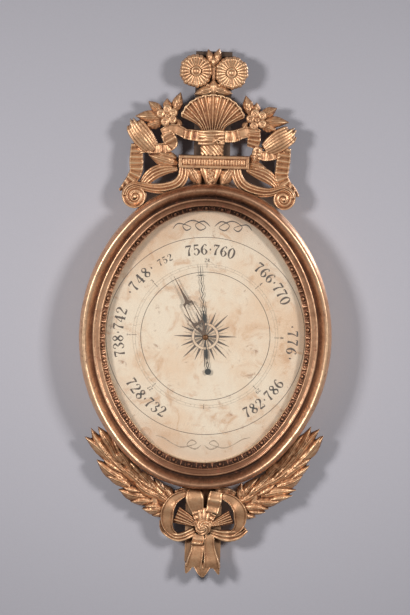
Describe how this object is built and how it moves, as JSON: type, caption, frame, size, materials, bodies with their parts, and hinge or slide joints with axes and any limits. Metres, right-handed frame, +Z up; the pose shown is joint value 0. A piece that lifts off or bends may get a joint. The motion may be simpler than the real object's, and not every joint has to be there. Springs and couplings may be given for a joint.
{
  "type": "wall barometer",
  "caption": "Oval wall barometer: carved gilt frame with crest, laurel and bow, paper dial with two hands, siphon tube and float movement behind.",
  "frame": {"origin": "on the wall plane, straight behind the arbor of the hands", "axes": "+Z up, +Y into the wall, +X to the right as seen from the front; the dial faces -Y"},
  "size_m": [0.447, 0.072, 0.9471],
  "materials": {
    "gilding": "worn water gilding over red bole on carved wood",
    "pine": "old oiled softwood",
    "brass": "aged brass",
    "iron": "dark iron",
    "blued_steel": "blued steel",
    "window_glass": "thin old window glass",
    "tube_glass": "clear glass tube",
    "float_glass": "weighted glass float",
    "dial_paper": "foxed rag paper with ink",
    "spacer_card": "paper-covered card slip",
    "mercury": "liquid mercury",
    "silk": "silk thread"
  },
  "bodies": {
    "case": {"tube_case": "pine", "upper_lid": "pine", "lower_lid": "pine", "lid_screws": "brass", "hanging_plate": "iron", "hanging_screws": "iron", "frame_right": "gilding", "frame_top": "gilding", "frame_left": "gilding", "frame_bottom": "gilding", "dial_glass": "window_glass", "glass_bush": "brass", "glass_spacer": "spacer_card", "dial_paper": "dial_paper", "dial_board": "pine", "turn_plates": "brass", "turn_screws": "brass", "frame_screws": "iron", "arbor_bush": "brass", "arbor_cock": "brass", "cock_screws": "iron", "siphon_tube": "tube_glass", "mercury_column": "mercury", "mercury_short_limb": "mercury", "tube_rests": "pine", "tube_straps": "brass", "strap_screws": "iron", "float_thread": "silk", "counter_thread": "silk", "hinge_leaves": "brass", "hinge_pins": "iron", "crest_fan": "gilding", "crest_foot": "gilding", "crest_plinth": "gilding", "crest_wing_left": "gilding", "crest_wing_right": "gilding", "blossom_left": "gilding", "blossom_right": "gilding", "daisy_left": "gilding", "daisy_right": "gilding", "daisy_leaves": "gilding", "laurel_left": "gilding", "laurel_right": "gilding", "bow": "gilding", "rosette": "gilding", "drop": "gilding"},
    "pointer": {"arbor": "iron", "pulley": "brass", "thread_winding": "silk", "steel_hand": "blued_steel"},
    "set_pointer": {"set_hand": "brass", "set_knob": "brass"},
    "float_body": {"float": "float_glass"},
    "counterweight_body": {"counterweight": "brass"},
    "door": {"back_door": "pine", "door_knuckles": "brass"}
  },
  "joints": [
    {"name": "pointer_turn", "type": "hinge", "parent": "case", "child": "pointer", "pos_m": [0, 0, 0], "axis": [0, 1, 0], "range_deg": [-145, 155]},
    {"name": "set_hand_turn", "type": "hinge", "parent": "case", "child": "set_pointer", "pos_m": [0, 0, 0], "axis": [0, 1, 0], "continuous": true},
    {"name": "float_slide", "type": "slide", "parent": "case", "child": "float_body", "axis": [0, 0, 1], "range_m": [-0.017, 0.016], "deforming": ["mercury_short_limb", "float_thread"]},
    {"name": "counterweight_slide", "type": "slide", "parent": "case", "child": "counterweight_body", "axis": [0, 0, 1], "range_m": [-0.016, 0.017], "deforming": ["counter_thread"]},
    {"name": "door_hinge", "type": "hinge", "parent": "case", "child": "door", "pos_m": [-0.0229, -0.00225, 0], "axis": [0, 0, 1], "range_deg": [0, 90]}
  ],
  "couplings": [
    {"joint": "float_slide", "follows": "pointer_turn", "m_per_rad": -0.0057444},
    {"joint": "counterweight_slide", "follows": "pointer_turn", "m_per_rad": 0.0057444}
  ]
}
